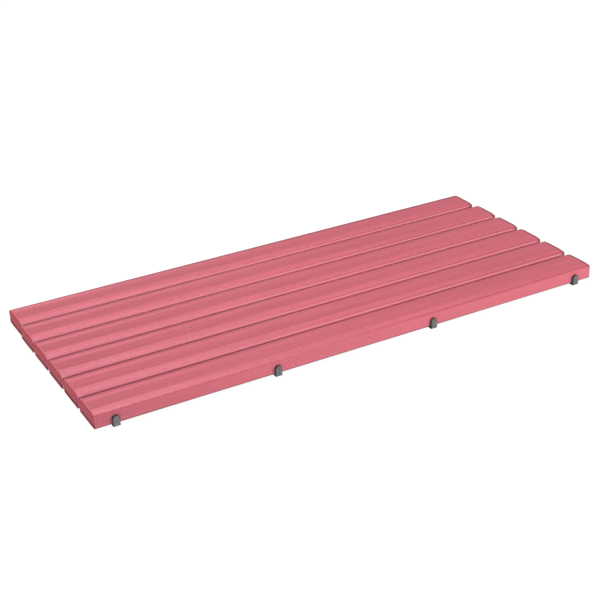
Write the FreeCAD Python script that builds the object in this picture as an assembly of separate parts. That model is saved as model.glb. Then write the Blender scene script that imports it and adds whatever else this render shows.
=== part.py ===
import FreeCAD, Part
import math
import os

from FreeCAD import Vector

# A slatted platform top. Long round-edged timber planks lie side by side across four flat steel
# straps. Both ends of every strap turn up over the outer planks as short round-topped tabs, and
# countersunk wood screws come up through the straps into the planks.
#
# Frame, in millimetres: +X along the planks, -Y towards the front edge, +Z up. The origin is
# under the middle of the platform, level with the underside of the straps.

# Planks
PLANK_COUNT = 6
PLANK_LENGTH = 1500.0
PLANK_WIDTH = 95.0
PLANK_GAP = 15.0
PLANK_THICKNESS = 41.0
PLANK_FLAT_WIDTH = 36.0         # level middle of the top
PLANK_SHOULDER_DROP = 3.0       # fall from the flat to where a shoulder would meet the side
TOP_EDGE_RADIUS = 5.0
BOTTOM_EDGE_RADIUS = 3.0
SAWN_END_RADIUS = 2.5           # easing round each sawn end
BACK_PLANK_SHORT_LEFT = 4.0     # the back plank stops short of the others at both ends
BACK_PLANK_SHORT_RIGHT = 7.0

# Straps, of flat bar
STRAP_FROM_LEFT = (55.0, 491.0, 961.0, 1444.0)
STRAP_WIDTH = 18.0
STRAP_THICKNESS = 6.0
STRAP_INNER_BEND_RADIUS = 1.0   # smaller than the planks' bottom edge
STRAP_OUTER_BEND_RADIUS = 3.5   # the corner is forged up square
STRAP_EDGE_RADIUS = 0.8
TAB_RISE = 24.5                 # tip of a tab above the planks' underside

# Holes that bolt the straps down to legs or a frame, in the outermost gaps between planks
FIXING_HOLE_DIAMETER = 7.0

# Wood screws, two where each strap crosses each plank
SCREW_LENGTH = 35.0
SCREW_DIAMETER = 4.5
SCREW_TIP_LENGTH = 5.0
SCREW_SPACING = 44.0            # between the two screws in one plank
SCREW_HOLE_DIAMETER = 5.0
COUNTERSINK_DIAMETER = 9.0      # a 90 degree cone
SCREW_HEAD_DEPTH = 0.2          # how far the head sits above the strap's underside
PILOT_HOLE_DIAMETER = 4.7
PILOT_HOLE_SPARE = 2.0          # hole left beyond the screw's tip
RECESS_LENGTH = 4.0
RECESS_WIDTH = 0.9
RECESS_DEPTH = 1.5

PLANK_PITCH = PLANK_WIDTH + PLANK_GAP
PLANKS_DEPTH = (PLANK_COUNT - 1) * PLANK_PITCH + PLANK_WIDTH
PLANK_UNDERSIDE = STRAP_THICKNESS
ALONG_X = Vector(1, 0, 0)
ALONG_Y = Vector(0, 1, 0)
UP = Vector(0, 0, 1)


def plank_centre(index):
    """Y of a plank's middle; index 0 is the front plank."""
    return -PLANKS_DEPTH / 2 + PLANK_WIDTH / 2 + index * PLANK_PITCH


def plank_ends(index):
    """X of a plank's left and right ends."""
    if index == PLANK_COUNT - 1:
        return BACK_PLANK_SHORT_LEFT - PLANK_LENGTH / 2, PLANK_LENGTH / 2 - BACK_PLANK_SHORT_RIGHT
    return -PLANK_LENGTH / 2, PLANK_LENGTH / 2


def strap_centre(index):
    """X of a strap's middle; index 0 is the leftmost strap."""
    return STRAP_FROM_LEFT[index] - PLANK_LENGTH / 2


def screw_places(strap_index):
    """The (x, y) of every screw in one strap, front to back."""
    x = strap_centre(strap_index)
    places = []
    for plank_index in range(PLANK_COUNT):
        for side in (-1, 1):
            places.append((x, plank_centre(plank_index) + side * SCREW_SPACING / 2))
    return places


def arc(start, middle, end):
    return Part.Arc(start, middle, end).toShape()


def corner_arc(centre_y, centre_z, radius, start_angle, end_angle):
    """A round corner of a section in the YZ plane, between two angles from +Y."""
    points = []
    for angle in (start_angle, (start_angle + end_angle) / 2, end_angle):
        points.append(Vector(0, centre_y + radius * math.cos(angle), centre_z + radius * math.sin(angle)))
    return arc(*points)


def closed_face(corners):
    """A face bounded by the given edges, in order, joined by straight lines."""
    edges = []
    for index, edge in enumerate(corners):
        following = corners[(index + 1) % len(corners)]
        start = edge.Vertexes[-1].Point
        end = following.Vertexes[0].Point
        edges.append(edge)
        if start.distanceToPoint(end) > 1e-6:
            edges.append(Part.makeLine(start, end))
    return Part.Face(Part.Wire(edges))


def plank_section():
    """A plank's section about its own middle: flat base, flat top falling away in two shoulders."""
    half = PLANK_WIDTH / 2
    flat = PLANK_FLAT_WIDTH / 2
    drop = PLANK_SHOULDER_DROP
    shoulder_radius = ((half - flat) ** 2 + drop ** 2) / (2 * drop)
    shoulder_z = PLANK_THICKNESS - shoulder_radius
    edge_y = half - TOP_EDGE_RADIUS
    edge_z = shoulder_z + math.sqrt((shoulder_radius - TOP_EDGE_RADIUS) ** 2 - (edge_y - flat) ** 2)
    edge_angle = math.atan2(edge_z - shoulder_z, edge_y - flat)
    low = BOTTOM_EDGE_RADIUS
    quarter = math.pi / 2
    return closed_face([
        corner_arc(half - low, low, low, -quarter, 0),
        corner_arc(edge_y, edge_z, TOP_EDGE_RADIUS, 0, edge_angle),
        corner_arc(flat, shoulder_z, shoulder_radius, edge_angle, quarter),
        corner_arc(-flat, shoulder_z, shoulder_radius, quarter, math.pi - edge_angle),
        corner_arc(-edge_y, edge_z, TOP_EDGE_RADIUS, math.pi - edge_angle, math.pi),
        corner_arc(low - half, low, low, math.pi, math.pi + quarter),
    ])


def make_plank(index):
    """One plank with eased ends and a pilot hole for every screw."""
    left, right = plank_ends(index)
    section = plank_section()
    section.translate(Vector(left, plank_centre(index), PLANK_UNDERSIDE))
    plank = section.extrude(ALONG_X * (right - left))
    end_edges = [edge for edge in plank.Edges if edge.BoundBox.XLength < 1e-6]
    plank = plank.makeFillet(SAWN_END_RADIUS, end_edges)
    depth = SCREW_HEAD_DEPTH + SCREW_LENGTH + PILOT_HOLE_SPARE - PLANK_UNDERSIDE
    holes = []
    for strap_index in range(len(STRAP_FROM_LEFT)):
        for x, y in screw_places(strap_index):
            if abs(y - plank_centre(index)) < PLANK_WIDTH / 2:
                foot = Vector(x, y, PLANK_UNDERSIDE)
                holes.append(Part.makeCylinder(PILOT_HOLE_DIAMETER / 2, depth, foot, UP))
    return plank.cut(Part.makeCompound(holes))


def strap_side_view():
    """The strap's U shape in the YZ plane, with square ends to its tabs."""
    inner = PLANKS_DEPTH / 2
    outer = inner + STRAP_THICKNESS
    inside = STRAP_INNER_BEND_RADIUS
    outside = STRAP_OUTER_BEND_RADIUS
    inside_z = STRAP_THICKNESS + inside
    tip = PLANK_UNDERSIDE + TAB_RISE
    quarter = math.pi / 2
    return closed_face([
        corner_arc(outside - outer, outside, outside, math.pi, math.pi + quarter),
        corner_arc(outer - outside, outside, outside, -quarter, 0),
        Part.makeLine(Vector(0, outer, tip), Vector(0, inner, tip)),
        corner_arc(inner - inside, inside_z, inside, 0, -quarter),
        corner_arc(inside - inner, inside_z, inside, math.pi + quarter, math.pi),
        Part.makeLine(Vector(0, -inner, tip), Vector(0, -outer, tip)),
    ])


def strap_front_view():
    """The strap seen from the front: its width, with a half-round top."""
    half = STRAP_WIDTH / 2
    shoulder = PLANK_UNDERSIDE + TAB_RISE - half
    front = -PLANKS_DEPTH / 2 - STRAP_THICKNESS
    left = Vector(-half, front, shoulder)
    right = Vector(half, front, shoulder)
    top = Vector(0, front, shoulder + half)
    base = Part.makeLine(Vector(-half, front, 0), Vector(half, front, 0))
    return closed_face([base, arc(right, top, left)])


def bent_bar():
    """A strap without its holes, centred on X = 0, with its long edges eased."""
    side = strap_side_view()
    side.translate(ALONG_X * (-STRAP_WIDTH / 2))
    side = side.extrude(ALONG_X * STRAP_WIDTH)
    front = strap_front_view().extrude(ALONG_Y * (PLANKS_DEPTH + 2 * STRAP_THICKNESS))
    bar = side.common(front).removeSplitter()
    # Edges straight across the bar, or straight through it, only join faces that run on smoothly.
    joins = (STRAP_WIDTH, STRAP_THICKNESS)
    rim = [edge for edge in bar.Edges if all(abs(edge.Length - join) > 0.01 for join in joins)]
    return bar.makeFillet(STRAP_EDGE_RADIUS, rim)


def make_strap(index):
    """One strap: flat bar with turned-up ends, screw holes and two fixing holes."""
    strap = bent_bar()
    strap.translate(ALONG_X * strap_centre(index))
    for x, y in screw_places(index):
        strap = strap.cut(screw_hole(x, y))
    outer_gap = PLANK_PITCH * (PLANK_COUNT / 2 - 1)
    for y in (-outer_gap, outer_gap):
        foot = Vector(strap_centre(index), y, 0)
        strap = strap.cut(Part.makeCylinder(FIXING_HOLE_DIAMETER / 2, STRAP_THICKNESS, foot, UP))
    return strap


def screw_hole(x, y):
    """A through hole with a 90 degree countersink in the strap's underside."""
    foot = Vector(x, y, 0)
    sink_depth = (COUNTERSINK_DIAMETER - SCREW_HOLE_DIAMETER) / 2
    hole = Part.makeCylinder(SCREW_HOLE_DIAMETER / 2, STRAP_THICKNESS, foot, UP)
    sink = Part.makeCone(COUNTERSINK_DIAMETER / 2, SCREW_HOLE_DIAMETER / 2, sink_depth, foot, UP)
    return hole.fuse(sink)


def make_screw(x, y):
    """One countersunk wood screw, head down, with a cross recess."""
    head_radius = COUNTERSINK_DIAMETER / 2 - SCREW_HEAD_DEPTH
    radius = SCREW_DIAMETER / 2
    head_height = head_radius - radius
    straight = SCREW_LENGTH - head_height - SCREW_TIP_LENGTH
    foot = Vector(x, y, SCREW_HEAD_DEPTH)
    head = Part.makeCone(head_radius, radius, head_height, foot, UP)
    shank = Part.makeCylinder(radius, straight, foot + UP * head_height, UP)
    tip = Part.makeCone(radius, 0, SCREW_TIP_LENGTH, foot + UP * (head_height + straight), UP)
    screw = head.fuse([shank, tip]).removeSplitter()
    for length, width in ((RECESS_LENGTH, RECESS_WIDTH), (RECESS_WIDTH, RECESS_LENGTH)):
        corner = foot - Vector(length / 2, width / 2, 0)
        screw = screw.cut(Part.makeBox(length, width, RECESS_DEPTH, corner))
    return screw


def save(name, shape):
    shape.exportStep("parts/" + name + ".step")
    print(name, "valid", shape.isValid(), "solids", len(shape.Solids), "volume", round(shape.Volume))


os.makedirs("parts", exist_ok=True)
for plank_index in range(PLANK_COUNT):
    save("plank_%d" % (plank_index + 1), make_plank(plank_index))
for strap_index in range(len(STRAP_FROM_LEFT)):
    strap_name = "strap_%d" % (strap_index + 1)
    save(strap_name, make_strap(strap_index))
    screws = [make_screw(x, y) for x, y in screw_places(strap_index)]
    save(strap_name + "_screws", Part.makeCompound(screws))
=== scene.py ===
import math

import bpy
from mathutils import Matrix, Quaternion, Vector, noise


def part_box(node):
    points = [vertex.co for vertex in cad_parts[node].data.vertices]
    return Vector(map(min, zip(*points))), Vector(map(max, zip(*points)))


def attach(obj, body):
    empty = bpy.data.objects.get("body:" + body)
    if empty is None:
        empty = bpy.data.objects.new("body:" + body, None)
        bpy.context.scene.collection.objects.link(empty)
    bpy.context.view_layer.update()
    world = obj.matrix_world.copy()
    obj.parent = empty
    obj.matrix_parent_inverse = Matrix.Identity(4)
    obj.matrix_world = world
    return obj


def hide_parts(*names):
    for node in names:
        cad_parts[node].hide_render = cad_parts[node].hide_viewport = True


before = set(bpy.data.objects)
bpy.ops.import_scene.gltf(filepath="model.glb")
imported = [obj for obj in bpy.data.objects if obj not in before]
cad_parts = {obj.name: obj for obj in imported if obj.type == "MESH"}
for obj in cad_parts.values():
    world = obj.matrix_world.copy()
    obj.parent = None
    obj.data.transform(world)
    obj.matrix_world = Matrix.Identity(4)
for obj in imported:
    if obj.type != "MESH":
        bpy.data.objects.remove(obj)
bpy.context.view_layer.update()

MM = 0.001
QUARTER_TURN = math.pi / 2
WHITE = (1, 1, 1, 1)

PLANKS = sorted(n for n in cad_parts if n.startswith("plank_"))
STRAPS = sorted(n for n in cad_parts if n.startswith("strap_") and not n.endswith("_screws"))
SCREWS = sorted(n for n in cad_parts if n.endswith("_screws"))

# The planks' section, as the CAD model has it
FLAT_WIDTH = 36 * MM
SHOULDER_DROP = 3 * MM
TOP_EDGE_RADIUS = 5 * MM
BOTTOM_EDGE_RADIUS = 3 * MM
SAWN_END_RADIUS = 2.5 * MM

# Growth rings stand up this much, round a pith below the plank and to one side of its middle
GRAIN_RELIEF = 0.04 * MM
RING_SPACING = 4.5 * MM
PITH_DEPTH = 70 * MM
PITH_STEP = 18 * MM

# Mesh steps round the section and along the plank
FLAT_STEPS = 24
SIDE_STEPS = 14
SHOULDER_STEPS = 14
TOP_EDGE_STEPS = 12
BOTTOM_EDGE_STEPS = 6
LENGTH_STEPS = 160
ROUND_END_STEPS = 6
END_FACE_RINGS = 14

# Paint
PINK = (0.645, 0.136, 0.175, 1)
DULL_PINK = (0.580, 0.119, 0.154, 1)
# Painted highlight: lighter pinks for the lit shoulders and edges of the tops, and for the lit left
# rounded ends
LIT_PINK = (0.700, 0.150, 0.194, 1)
HIGHLIGHT_PINK = (0.770, 0.178, 0.228, 1)
SIDE_PINK = (0.670, 0.145, 0.187, 1)
# The sides' pink is painted darker towards the left and right ends: painted shade
SIDE_PINK_LEFT = (0.600, 0.130, 0.168, 1)
SIDE_PINK_RIGHT = (0.630, 0.137, 0.176, 1)
# Painted light on the gap walls: the lit lip near the top, and the lit strip at the left end
LIT_LIP_PINK = (0.980, 0.360, 0.440, 1)
LIT_LIP_PINK_RIGHT = (0.780, 0.285, 0.350, 1)
LIT_CORNER_PINK = (0.930, 0.285, 0.350, 1)
# Painted shade on the gap walls below the lip, darkest near the left end
GAP_SHADE_PINK = (0.430, 0.110, 0.135, 1)
GAP_SHADE_PINK_RIGHT = (0.640, 0.165, 0.205, 1)
DEEP_GAP_SHADOW = (0.110, 0.024, 0.031, 1)
# Painted shade: dark pinks for the back edges, the back plank's end corners, the right rounded ends
# and the right ends of the gaps
DARK_SHADE_PINK = (0.270, 0.058, 0.075, 1)
BACK_SHADE_PINK = (0.320, 0.040, 0.056, 1)
# Painted shade: the top edges fade to this darker pink at the right end
SHADED_EDGE_PINK = (0.520, 0.108, 0.138, 1)
# Painted shade along the bottom edges
BOTTOM_SHADE_PINK = (0.12, 0.022, 0.030, 1)
DARK_GRAIN = (0.460, 0.090, 0.110, 1)
PALE_GRAIN = (0.600, 0.116, 0.144, 1)
BETWEEN_DUST = (0.89, 0.76, 0.77, 1)
DUST_GAIN = (1.055, 1.14, 1.145, 1)

# The dull middle of a plank's top, between the painted highlight on its shoulders, lies this far in
# front of its middle line
DULL_MIDDLE_OFFSET = 2.5 * MM

# Bands across a plank, from its middle line: where each starts and where it is complete
SHOULDER_BAND = (18.5 * MM, 21.5 * MM)
EDGE_BAND = (40 * MM, 43 * MM)
SIDE_BAND = (45.8 * MM, 47.2 * MM)
# The five bands below mark the painted shade on the back edges and on the back plank's end corners
BACK_SHADE_BAND = (26 * MM, 41 * MM)
BACK_SHADE_RIM = (40 * MM, 44 * MM)
OUTER_SHADE_BAND = (27 * MM, 38 * MM)
OUTER_SHADE_RIM = (34 * MM, 38 * MM)
OUTER_SHADE_CORNER = (38 * MM, 43 * MM)

# Bands along a plank, from its middle, over which the painted highlights and painted shade fade
SHOULDER_HIGHLIGHT_RUN = (-0.70, -0.35)
EDGE_HIGHLIGHT_RUN = (-0.65, 0.55)
HIGHLIGHT_FADE_RUN = (-0.20, 0.50)
# Where the painted light on the gaps' lips and the painted shade lower down turn to their
# right-hand pinks
LIT_LIP_RUN = (-0.25, 0.65)
GAP_SHADE_RUN = (-0.20, 0.20)
# Where the painted shade on the back edges is strongest along the plank
BACK_SHADE_RUN = (0.10, -0.50)
OUTER_SHADE_RUN = (-0.70, -0.30)

# Bands at a plank's ends, from the end inwards
SAWN_BAND = (2.8 * MM, 1.2 * MM)
# The rounded left end is painted lighter, a painted highlight, and the rounded right end darker,
# painted shade
LEFT_ROUND = (6.5 * MM, 4 * MM)
RIGHT_ROUND = (9.5 * MM, 6.5 * MM)
# In the gaps: the lit strip at the left end, painted light, the darkest painted shade further in,
# and painted shade at the right end
GAP_CORNER = (5.5 * MM, 4 * MM)
GAP_DEEP = (12 * MM, 40 * MM)
GAP_END_SHADE = (14 * MM, 6 * MM)
LIP_END = (10 * MM, 25 * MM)

# The lit lip of a gap, painted light, from the top of the plank down, and the painted shade along
# the bottom, from its underside up
LIP_BAND = (13 * MM, 10 * MM)
BOTTOM_SHADE_BAND = (3.5 * MM, 0.5 * MM)

# Steel
STEEL = (0.215, 0.229, 0.219, 1)
DULL_STEEL = (0.080, 0.087, 0.083, 1)
# Painted shade along the bar's edges
EDGE_SHADE_STEEL = (0.030, 0.030, 0.030, 1)
# Painted shadow at the feet of the tabs
FOOT_SHADOW_STEEL = (0.010, 0.010, 0.010, 1)
DARK_ZINC = (0.45, 0.46, 0.46, 1)
PALE_ZINC = (0.62, 0.63, 0.63, 1)

# How far in from the bar's edges it is painted darker, painted shade, and how wide the cut edge is
# on which the painted shadow at the feet reaches higher
EDGE_SHADE_BAND = (2.2 * MM, 1.0 * MM)
CUT_BAND = (0.6 * MM, 0.1 * MM)

# Painted shadow lies at the feet of the tabs: how high its edge wanders, and how far in under the
# planks
FOOT_SHADOW_HEIGHT = (5.2 * MM, 8.2 * MM)
FOOT_SHADOW_DEPTH = (20 * MM, 50 * MM)

# The floor glows so that it stays nearly white away from the lights
FLOOR_GREY = (0.15, 0.15, 0.15, 1)
FLOOR_GLOW = 0.92
FLOOR_REACH = 80.0
WORLD_LIGHT = 0.35

# The camera looks at the middle of the platform from its front left corner
CAMERA_AZIMUTH = -28.4
CAMERA_ELEVATION = 26.6
CAMERA_ROLL = -2.15
CAMERA_DISTANCE = 3.551
CAMERA_AIM = Vector((-0.0106, 0.0079, 0.0049))
CAMERA_LENS = 76.15


# ---------------------------------------------------------------- node helpers

class Nodes:
    """A material's node tree, with one short call for each kind of node it needs."""

    def __init__(self, name):
        self.material = bpy.data.materials.new(name)
        self.material.use_nodes = True
        self.tree = self.material.node_tree
        self.tree.nodes.clear()
        self.output = self.tree.nodes.new("ShaderNodeOutputMaterial")
        self.shader = self.tree.nodes.new("ShaderNodeBsdfPrincipled")
        self.link(self.shader.outputs["BSDF"], self.output.inputs["Surface"])

    def link(self, source, target):
        self.tree.links.new(source, target)

    def feed(self, target, value):
        """Sets a socket to a number or colour, or links it to another node's output."""
        if isinstance(value, bpy.types.NodeSocket):
            self.link(value, target)
        else:
            target.default_value = value

    def position(self, scale=(1, 1, 1), offset=(0, 0, 0)):
        """The point on the object, in metres, stretched by scale."""
        coordinates = self.tree.nodes.new("ShaderNodeTexCoord")
        mapping = self.tree.nodes.new("ShaderNodeMapping")
        mapping.inputs["Scale"].default_value = scale
        mapping.inputs["Location"].default_value = offset
        self.link(coordinates.outputs["Object"], mapping.inputs["Vector"])
        return mapping.outputs["Vector"]

    def axis(self, name):
        """One coordinate of the point on the object, in metres."""
        split = self.tree.nodes.new("ShaderNodeSeparateXYZ")
        self.link(self.position(), split.inputs["Vector"])
        return split.outputs[name]

    def noise(self, vector, scale, detail, roughness):
        node = self.tree.nodes.new("ShaderNodeTexNoise")
        self.link(vector, node.inputs["Vector"])
        node.inputs["Scale"].default_value = scale
        node.inputs["Detail"].default_value = detail
        node.inputs["Roughness"].default_value = roughness
        return node.outputs["Fac"]

    def ramp(self, value, *stops):
        """Turns 0..1 into a grey or colour; each stop is (position, grey or colour)."""
        node = self.tree.nodes.new("ShaderNodeValToRGB")
        self.link(value, node.inputs["Fac"])
        elements = node.color_ramp.elements
        while len(elements) < len(stops):
            elements.new(0.5)
        for element, (place, colour) in zip(elements, stops):
            element.position = place
            element.color = colour if isinstance(colour, tuple) else (colour,) * 3 + (1,)
        return node.outputs["Color"]

    def maths(self, operation, first, second=0.0, third=0.0):
        node = self.tree.nodes.new("ShaderNodeMath")
        node.operation = operation
        for socket, value in zip(node.inputs, (first, second, third)):
            self.feed(socket, value)
        return node.outputs["Value"]

    def times(self, first, second):
        return self.maths("MULTIPLY", first, second)

    def larger(self, first, second):
        return self.maths("MAXIMUM", first, second)

    def distance(self, value):
        """How far a coordinate is from zero, either way."""
        return self.maths("ABSOLUTE", value)

    def scaled(self, value, factor, start):
        """start plus factor times value."""
        return self.maths("MULTIPLY_ADD", value, factor, start)

    def between(self, value, low, high):
        """0 at low, 1 at high and beyond, smooth in between; high may be the smaller number."""
        node = self.tree.nodes.new("ShaderNodeMapRange")
        node.interpolation_type = "SMOOTHSTEP"
        self.link(value, node.inputs["Value"])
        node.inputs["From Min"].default_value = low
        node.inputs["From Max"].default_value = high
        return node.outputs["Result"]

    def mix(self, factor, first, second, blend="MIX"):
        node = self.tree.nodes.new("ShaderNodeMix")
        node.data_type = "RGBA"
        node.blend_type = blend
        self.feed(node.inputs["Factor"], factor)
        self.feed(node.inputs["A"], first)
        self.feed(node.inputs["B"], second)
        return node.outputs["Result"]

    def tint(self, colour, shade):
        """Multiplies a colour by another."""
        return self.mix(1.0, colour, shade, "MULTIPLY")

    def bump(self, height, strength, distance):
        node = self.tree.nodes.new("ShaderNodeBump")
        self.link(height, node.inputs["Height"])
        node.inputs["Strength"].default_value = strength
        node.inputs["Distance"].default_value = distance
        self.link(node.outputs["Normal"], self.shader.inputs["Normal"])

    def set(self, **values):
        """Sets the shader's own sockets, such as set(Roughness=0.4)."""
        for name, value in values.items():
            self.feed(self.shader.inputs[name.replace("_", " ")], value)


# ---------------------------------------------------------------- materials

class PlankPaint(Nodes):
    """Pink paint over a planed board: x runs along it and y across it, both from its middle."""

    def __init__(self, name, seed, length, height, open_side):
        super().__init__(name)
        self.seed = seed
        self.shift = (seed * 3.7, seed * 1.3, seed * 2.1)
        self.length = length
        self.left, self.right = -length / 2, length / 2
        self.height = height
        self.open_side = open_side
        self.is_back = open_side > 0
        self.x, self.y, self.z = self.axis("X"), self.axis("Y"), self.axis("Z")
        self.broad = self.grain((0.7, 36, 36), 2, 0.5)
        self.patches = self.grain((3, 9, 9), 3, 0.5)
        self.side = self.between(self.distance(self.y), *SIDE_BAND)
        self.end = self.near_right(self.distance(self.x), SAWN_BAND)
        self.rings = self.growth_rings()
        self.shaded_back = self.back_shade()

        colour = self.grain_and_dust(self.tone_and_painted_light())
        # Painted shade along the back edges
        colour = self.mix(self.shaded_back, colour, DARK_SHADE_PINK if self.is_back else BACK_SHADE_PINK)
        # Painted light and painted shade on the walls that face into the gaps
        colour = self.mix(self.in_gap(), colour, self.gap_walls())
        # Painted highlight on the left rounded ends and painted shade on the right ones
        colour = self.rounded_ends(colour)
        colour = self.mix(self.end, colour, self.sawn_wood())
        # Painted shade along the bottom edges
        colour = self.mix(self.bottom_shade(), colour, BOTTOM_SHADE_PINK)
        rough = self.scaled(self.end, 0.30, self.scaled(self.patches, 0.10, 0.30))
        gloss = self.scaled(self.larger(self.end, self.shaded_back), -0.25, 0.30)
        self.set(Base_Color=colour, Roughness=rough, Specular_IOR_Level=gloss)
        fibres = self.grain((9, 800, 800), 3, 0.6)
        self.bump(self.scaled(self.rings, self.end, fibres), 0.2, 0.05 * MM)

    def grain(self, stretch, detail, roughness, scale=1.0):
        """Noise stretched along the plank, different on each plank."""
        return self.noise(self.position(stretch, self.shift), scale, detail, roughness)

    def near_left(self, band):
        """Like between, for a band measured in from the left end."""
        return self.between(self.x, band[0] + self.left, band[1] + self.left)

    def near_right(self, value, band):
        """Like between, for a band measured in from the right end."""
        return self.between(value, self.right - band[0], self.right - band[1])

    def tone_and_painted_light(self):
        """The top's shoulders and edges are painted lighter, a painted highlight that is strongest
        at the left end and fades towards the right, where the edges turn darker, painted shade; the
        sides are painted darker towards the ends, painted shade.
        """
        colour = self.ramp(self.broad, (0.30, DULL_PINK), (0.70, PINK))
        wander = self.scaled(self.broad, 3 * MM, -1.5 * MM)
        off_middle = self.distance(self.maths("ADD", self.y, DULL_MIDDLE_OFFSET))
        # The shoulders are painted lighter, a painted highlight, strongest at the left end and
        # fading out towards the right
        shoulder = self.between(self.maths("ADD", off_middle, wander), *SHOULDER_BAND)
        highlight_fade = self.between(self.scaled(self.y, 8.0, self.x), *HIGHLIGHT_FADE_RUN)
        highlight_strength = self.maths("SUBTRACT", 1.0, highlight_fade)
        shoulder_highlight = self.mix(self.between(self.x, *SHOULDER_HIGHLIGHT_RUN), HIGHLIGHT_PINK, LIT_PINK)
        colour = self.mix(self.times(shoulder, highlight_strength), colour, shoulder_highlight)
        # The top edges are painted lighter at the left end, a painted highlight, and darker at the
        # right end, painted shade
        edge_highlight = self.mix(self.between(self.x, *EDGE_HIGHLIGHT_RUN), HIGHLIGHT_PINK, SHADED_EDGE_PINK)
        colour = self.mix(self.between(self.distance(self.y), *EDGE_BAND), colour, edge_highlight)
        share = self.scaled(self.x, 1 / self.length, 0.5)
        # The sides are painted darker towards both ends, most at the left: painted shade
        left, right = (0.0, SIDE_PINK_LEFT), (1.0, SIDE_PINK_RIGHT)
        side_shade = self.ramp(share, left, (0.3, SIDE_PINK), (0.65, SIDE_PINK), right)
        return self.mix(self.side, colour, side_shade)

    def grain_and_dust(self, colour):
        """Grain shows as long streaks over broader cloudy patches, and fine dust lies on it all."""
        streaks = self.grain((4, 170, 170), 4, 0.6)
        colour = self.tint(colour, self.ramp(streaks, (0.30, 0.88), (0.70, 1.0)))
        colour = self.tint(colour, self.ramp(self.patches, (0.3, 0.96), (0.7, 1.0)))
        specks = self.grain((1, 1, 1), 3, 0.7, scale=190)
        colour = self.tint(colour, self.ramp(specks, (0.35, BETWEEN_DUST), (0.65, WHITE)))
        return self.tint(colour, DUST_GAIN)

    def back_shade(self):
        """Each plank's back edge is painted darker, painted shade along the gap behind it, and the
        back plank's outer back edge darker still, painted shade.
        """
        if self.is_back:
            band = self.times(self.between(self.y, *OUTER_SHADE_BAND), self.between(self.x, *OUTER_SHADE_RUN))
            return self.times(self.larger(band, self.between(self.y, *OUTER_SHADE_RIM)), 0.8)
        rim = self.times(self.between(self.y, *BACK_SHADE_RIM), 0.40)
        band = self.times(self.between(self.y, *BACK_SHADE_BAND), self.between(self.x, *BACK_SHADE_RUN))
        return self.larger(self.times(band, 0.60), rim)

    def in_gap(self):
        """1 on the sides that face another plank, and 0 on the platform's open sides."""
        facing = self.times(self.y, self.open_side)
        return self.times(self.side, self.maths("LESS_THAN", facing, 20 * MM))

    def gap_walls(self):
        """In the gaps the walls are painted lighter near the top and in a strip at the left end,
        painted light reaching in, and darker further down, painted shade, darkest near the left
        end.
        """
        low, high = LIP_BAND
        lip = self.between(self.z, self.height - low, self.height - high)
        lip = self.times(lip, self.near_right(self.x, LIP_END))
        run = self.between(self.x, *LIT_LIP_RUN)
        # The lip is painted lighter, painted light; lower down the walls are painted darker,
        # painted shade
        lit_lip_colour = self.mix(run, LIT_LIP_PINK, LIT_LIP_PINK_RIGHT)
        gap_shade = self.mix(self.between(self.x, *GAP_SHADE_RUN), GAP_SHADE_PINK, GAP_SHADE_PINK_RIGHT)
        gap_shade = self.mix(self.near_left(GAP_DEEP), DEEP_GAP_SHADOW, gap_shade)
        gap_shade = self.mix(self.near_right(self.x, GAP_END_SHADE), gap_shade, DARK_SHADE_PINK)
        walls = self.mix(lip, gap_shade, lit_lip_colour)
        # The lit strip at the left end of each gap: painted light
        return self.mix(self.near_left(GAP_CORNER), walls, LIT_CORNER_PINK)

    def rounded_ends(self, colour):
        """The round edge along the left sawn end is painted lighter, a painted highlight, and along
        the right end darker, painted shade.
        """
        off_side = self.maths("SUBTRACT", 1.0, self.side)
        left, right = self.near_left(LEFT_ROUND), self.near_right(self.x, RIGHT_ROUND)
        colour = self.mix(self.times(left, off_side), colour, LIT_PINK)
        return self.mix(self.times(right, off_side), colour, DARK_SHADE_PINK)

    def growth_rings(self):
        """Rings round the plank's pith, broken up by pores."""
        pores = self.grain((1, 1, 1), 3, 0.7, scale=900)
        wave = self.tree.nodes.new("ShaderNodeTexWave")
        wave.wave_type = "RINGS"
        wave.rings_direction = "X"
        pith = (0, (self.seed % 3 - 1) * PITH_STEP, 30 * MM)
        self.link(self.position(offset=pith), wave.inputs["Vector"])
        wave.inputs["Scale"].default_value = 45
        wave.inputs["Distortion"].default_value = 1.5
        wave.inputs["Detail Scale"].default_value = 1.5
        return self.scaled(wave.outputs["Fac"], 0.5, self.times(pores, 0.5))

    def sawn_wood(self):
        """Sawn ends drink more paint and show their rings; on the back plank they are painted
        darker towards the back corner, painted shade.
        """
        sawn = self.ramp(self.rings, (0.25, DARK_GRAIN), (0.75, PALE_GRAIN))
        if self.is_back:
            corner = self.times(self.between(self.y, *OUTER_SHADE_CORNER), 0.8)
            sawn = self.mix(corner, sawn, DARK_SHADE_PINK)
        return sawn

    def bottom_shade(self):
        """Painted shade along the bottom edges, reaching highest on the sawn ends."""
        height = self.scaled(self.patches, -2.5 * MM, self.scaled(self.end, -9 * MM, self.z))
        return self.times(self.between(height, *BOTTOM_SHADE_BAND), 0.8)


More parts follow.
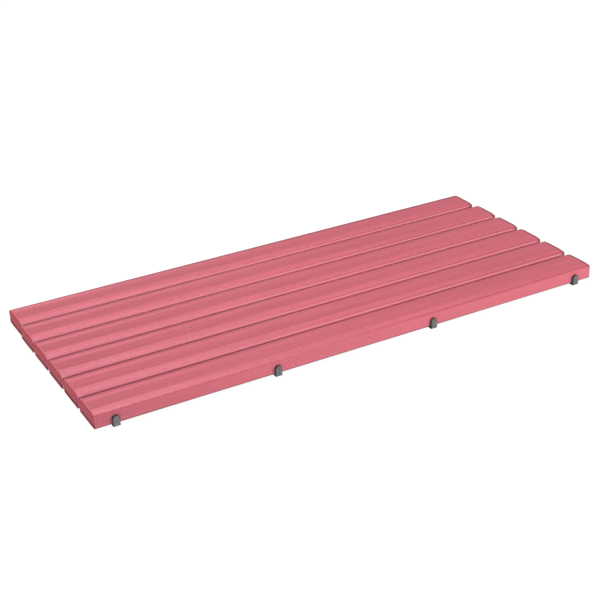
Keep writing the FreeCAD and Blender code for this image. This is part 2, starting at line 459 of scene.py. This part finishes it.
def grey_steel(name, seed, low, high):
    """Dull zinc on rolled bar, painted darker along its edges, painted shade, and at the feet of
    its tabs, painted shadow.
    """
    m = Nodes(name)
    shift = (seed * 1.9, seed * 2.3, seed * 0.7)
    mottle = m.noise(m.position((1, 1, 0.5), shift), 170, 4, 0.6)
    colour = m.ramp(mottle, (0.3, DULL_STEEL), (0.7, STEEL))

    # How far a point is from the bar's middle line, measured round the half-round tips.
    half = (high.x - low.x) / 2
    height = m.axis("Z")
    across = m.maths("SUBTRACT", m.axis("X"), (low.x + high.x) / 2)
    above = m.larger(m.maths("SUBTRACT", height, high.z - half), 0.0)
    squares = m.maths("ADD", m.maths("POWER", across, 2.0), m.maths("POWER", above, 2.0))
    reach = m.maths("SQRT", squares)
    rough_line = m.scaled(mottle, -1.0 * MM, reach)
    # The edges are painted darker: painted shade
    edge_shade = m.between(rough_line, half - EDGE_SHADE_BAND[0], half - EDGE_SHADE_BAND[1])
    colour = m.mix(m.times(edge_shade, 0.7), colour, EDGE_SHADE_STEEL)

    # Painted shadow at the feet of the tabs, which reaches higher on the cut edges.
    cut = m.between(reach, half - CUT_BAND[0], half - CUT_BAND[1])
    shadow_line = m.scaled(mottle, 9 * MM, m.scaled(cut, -4 * MM, height))
    unshaded = m.between(shadow_line, *FOOT_SHADOW_HEIGHT)
    depth = m.distance(m.axis("Y"))
    inboard = m.between(depth, high.y - FOOT_SHADOW_DEPTH[0], high.y - FOOT_SHADOW_DEPTH[1])
    unshaded = m.larger(unshaded, m.times(inboard, 0.8))
    colour = m.mix(unshaded, FOOT_SHADOW_STEEL, colour)

    rough = m.scaled(unshaded, -0.35, m.scaled(mottle, 0.2, 0.71))
    gloss = m.scaled(unshaded, 0.4, 0.1)
    m.set(Base_Color=colour, Metallic=0.5, Roughness=rough, Specular_IOR_Level=gloss)
    fine = m.noise(m.position(offset=shift), 900, 3, 0.6)
    m.bump(fine, 0.3, 0.1 * MM)
    return m.material


def zinc_plate():
    """Bright zinc with a faint mottle, for the screws."""
    m = Nodes("zinc_plate")
    mottle = m.noise(m.position(), 400, 3, 0.6)
    colour = m.ramp(mottle, (0.3, DARK_ZINC), (0.7, PALE_ZINC))
    m.set(Base_Color=colour, Metallic=1.0, Roughness=m.scaled(mottle, 0.2, 0.25))
    return m.material


def dress(obj, material):
    """Gives the whole object one material."""
    obj.data.materials.clear()
    obj.data.materials.append(material)


# ---------------------------------------------------------------- planks

def arc(centre, radius, start, end, steps):
    """Points and outward normals along an arc, the last point left out."""
    rows = []
    for step in range(steps):
        angle = start + (end - start) * step / steps
        normal = (math.cos(angle), math.sin(angle))
        rows.append(((centre[0] + radius * normal[0], centre[1] + radius * normal[1]), normal))
    return rows


def line(start, end, steps):
    """Points and outward normals along a straight side, the last point left out."""
    run = (end[0] - start[0], end[1] - start[1])
    length = math.hypot(*run)
    normal = (run[1] / length, -run[0] / length)
    rows = []
    for step in range(steps):
        share = step / steps
        rows.append(((start[0] + run[0] * share, start[1] + run[1] * share), normal))
    return rows


def plank_section(width, height):
    """The plank's outline in (y, z) with normals, anticlockwise from the front bottom edge."""
    half = width / 2
    flat = FLAT_WIDTH / 2
    radius = ((half - flat) ** 2 + SHOULDER_DROP ** 2) / (2 * SHOULDER_DROP)
    shoulder_z = height - radius
    edge_y = half - TOP_EDGE_RADIUS
    edge_z = shoulder_z + math.sqrt((radius - TOP_EDGE_RADIUS) ** 2 - (edge_y - flat) ** 2)
    angle = math.atan2(edge_z - shoulder_z, edge_y - flat)
    mirrored = math.pi - angle
    low = BOTTOM_EDGE_RADIUS
    quarter = QUARTER_TURN
    rows = line((low - half, 0), (half - low, 0), FLAT_STEPS)
    rows += arc((half - low, low), low, -quarter, 0, BOTTOM_EDGE_STEPS)
    rows += line((half, low), (half, edge_z), SIDE_STEPS)
    rows += arc((edge_y, edge_z), TOP_EDGE_RADIUS, 0, angle, TOP_EDGE_STEPS)
    rows += arc((flat, shoulder_z), radius, angle, quarter, SHOULDER_STEPS)
    rows += line((flat, height), (-flat, height), FLAT_STEPS)
    rows += arc((-flat, shoulder_z), radius, quarter, mirrored, SHOULDER_STEPS)
    rows += arc((-edge_y, edge_z), TOP_EDGE_RADIUS, mirrored, math.pi, TOP_EDGE_STEPS)
    rows += line((-half, edge_z), (-half, low), SIDE_STEPS)
    rows += arc((low - half, low), low, math.pi, math.pi + quarter, BOTTOM_EDGE_STEPS)
    return rows


def stations_along(length):
    """(distance along the plank, inset of the section) from one end to the other."""
    radius = SAWN_END_RADIUS
    left = []
    for step in range(ROUND_END_STEPS + 1):
        angle = QUARTER_TURN * step / ROUND_END_STEPS
        left.append((radius * (1 - math.cos(angle)), radius * (1 - math.sin(angle))))
    run = length - 2 * radius
    middle = [(radius + run * step / LENGTH_STEPS, 0.0) for step in range(1, LENGTH_STEPS)]
    right = [(length - x, inset) for x, inset in reversed(left)]
    return left + middle + right


def ring_wave(point, seed):
    """Where a point of the timber lies between growth rings: -1 in soft wood, 1 in hard wood."""
    wander = noise.noise(Vector((point.x * 1.5, seed * 7.1, 0))) * 12 * MM
    pith_y = wander + (seed % 3 - 1) * PITH_STEP
    ring = math.hypot(point.y - pith_y, point.z + PITH_DEPTH)
    ring += noise.noise(Vector((point.x * 2.2, point.y * 18, point.z * 18 + seed * 3.3))) * 5 * MM
    wave = math.sin(ring / RING_SPACING * 2 * math.pi)
    return wave * math.sqrt(abs(wave))


def make_plank(node, seed):
    """Builds a plank's fine mesh in the CAD plank's box, grain and all, and paints it."""
    low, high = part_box(node)
    width, height, length = high.y - low.y, high.z - low.z, high.x - low.x
    section = plank_section(width, height)
    stations = stations_along(length)
    vertices = []
    for x, inset in stations:
        for (y, z), (ny, nz) in section:
            local = Vector((x - length / 2, y, z))
            cut = inset + GRAIN_RELIEF * (1 - ring_wave(local, seed)) / 2
            vertices.append(Vector((local.x, y - ny * cut, z - nz * cut)))
    count = len(section)
    faces = []
    for row in range(len(stations) - 1):
        for column in range(count):
            after = (column + 1) % count
            a, b = row * count, (row + 1) * count
            faces.append((a + column, b + column, b + after, a + after))
    for first, side in ((0, -1), ((len(stations) - 1) * count, 1)):
        add_sawn_end(vertices, faces, first, count, side, seed)
    mesh = bpy.data.meshes.new(node + "_timber")
    mesh.from_pydata(vertices, [], faces)
    mesh.update()
    mesh.shade_smooth()
    plank = bpy.data.objects.new(node + "_timber", mesh)
    plank.location = Vector(((low.x + high.x) / 2, (low.y + high.y) / 2, low.z))
    bpy.context.scene.collection.objects.link(plank)
    open_side = {PLANKS[0]: -1, PLANKS[-1]: 1}.get(node, 0)
    dress(plank, PlankPaint(node + "_paint", seed, length, height, open_side).material)
    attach(plank, "root")
    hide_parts(node)


def add_sawn_end(vertices, faces, first, count, side, seed):
    """Closes one end with rings of faces that shrink towards its middle, carrying the end grain."""
    rim = [vertices[first + column].copy() for column in range(count)]
    middle = sum(rim, Vector()) / count
    before = first
    for ring in range(1, END_FACE_RINGS):
        start = len(vertices)
        for corner in rim:
            point = middle.lerp(corner, 1 - ring / END_FACE_RINGS)
            depth = GRAIN_RELIEF * (1 - ring_wave(point, seed))
            vertices.append(point - Vector((side * depth, 0, 0)))
        for column in range(count):
            after = (column + 1) % count
            face = (before + column, before + after, start + after, start + column)
            faces.append(face if side > 0 else face[::-1])
        before = start
    centre = len(vertices)
    vertices.append(middle)
    for column in range(count):
        face = (before + column, before + (column + 1) % count, centre)
        faces.append(face if side > 0 else face[::-1])


for number, name in enumerate(PLANKS):
    make_plank(name, number + 1)

screw_zinc = zinc_plate()
for number, name in enumerate(STRAPS):
    dress(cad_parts[name], grey_steel(name + "_zinc", number + 1, *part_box(name)))
for name in SCREWS:
    dress(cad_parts[name], screw_zinc)


# ---------------------------------------------------------------- stage

def make_floor():
    """A wide pale floor at the straps' undersides."""
    reach = FLOOR_REACH
    corners = [(-reach, -reach, 0), (reach, -reach, 0), (reach, reach, 0), (-reach, reach, 0)]
    mesh = bpy.data.meshes.new("floor")
    mesh.from_pydata(corners, [], [(0, 1, 2, 3)])
    floor = bpy.data.objects.new("floor", mesh)
    bpy.context.scene.collection.objects.link(floor)
    m = Nodes("floor")
    m.set(Base_Color=FLOOR_GREY, Roughness=0.9)
    m.set(Emission_Color=WHITE, Emission_Strength=FLOOR_GLOW)
    dress(floor, m.material)


def make_world():
    """A dim even light all round, which looks white itself above the floor's far edge."""
    world = bpy.data.worlds.new("studio")
    bpy.context.scene.world = world
    world.use_nodes = True
    tree = world.node_tree
    background = tree.nodes["Background"]
    background.inputs["Color"].default_value = WHITE
    path = tree.nodes.new("ShaderNodeLightPath")
    strength = tree.nodes.new("ShaderNodeMapRange")
    tree.links.new(path.outputs["Is Camera Ray"], strength.inputs["Value"])
    strength.inputs["To Min"].default_value = WORLD_LIGHT
    strength.inputs["To Max"].default_value = 1.0
    tree.links.new(strength.outputs["Result"], background.inputs["Strength"])


def direction(azimuth, elevation):
    """Unit vector towards a point seen from the platform: azimuth 0 is the front, 90 the right."""
    a, e = math.radians(azimuth), math.radians(elevation)
    return Vector((math.sin(a) * math.cos(e), -math.cos(a) * math.cos(e), math.sin(e)))


def make_light(name, azimuth, elevation, distance, size, power, mirrored=True):
    """A soft rectangular light facing the middle of the platform, mirrored in its gloss or not."""
    back = direction(azimuth, elevation)
    data = bpy.data.lights.new(name, "AREA")
    data.shape = "RECTANGLE"
    data.size, data.size_y = size
    data.energy = power
    light = bpy.data.objects.new(name, data)
    light.location = back * distance
    light.rotation_mode = "QUATERNION"
    light.rotation_quaternion = back.to_track_quat("Z", "Y")
    light.visible_glossy = mirrored
    bpy.context.scene.collection.objects.link(light)


def make_camera():
    """The photograph's view of the platform."""
    back = direction(CAMERA_AZIMUTH, CAMERA_ELEVATION)
    camera = bpy.data.objects.new("camera", bpy.data.cameras.new("camera"))
    camera.data.lens = CAMERA_LENS
    camera.location = CAMERA_AIM + back * CAMERA_DISTANCE
    camera.rotation_mode = "QUATERNION"
    roll = Quaternion((0, 0, 1), math.radians(CAMERA_ROLL))
    camera.rotation_quaternion = (-back).to_track_quat("-Z", "Y") @ roll
    bpy.context.scene.collection.objects.link(camera)
    bpy.context.scene.camera = camera


make_floor()
make_world()
make_camera()
make_light("overhead", azimuth=200, elevation=80, distance=4.0, size=(3.0, 3.0), power=107)
make_light("front_right", azimuth=45, elevation=15, distance=4.2, size=(1.4, 0.5), power=100,
           mirrored=False)
make_light("high_strip", azimuth=168, elevation=50, distance=4.5, size=(2.2, 0.9), power=12)
make_light("low_strip", azimuth=168, elevation=10, distance=4.5, size=(2.0, 0.7), power=4)
bpy.context.scene.view_settings.view_transform = "Standard"
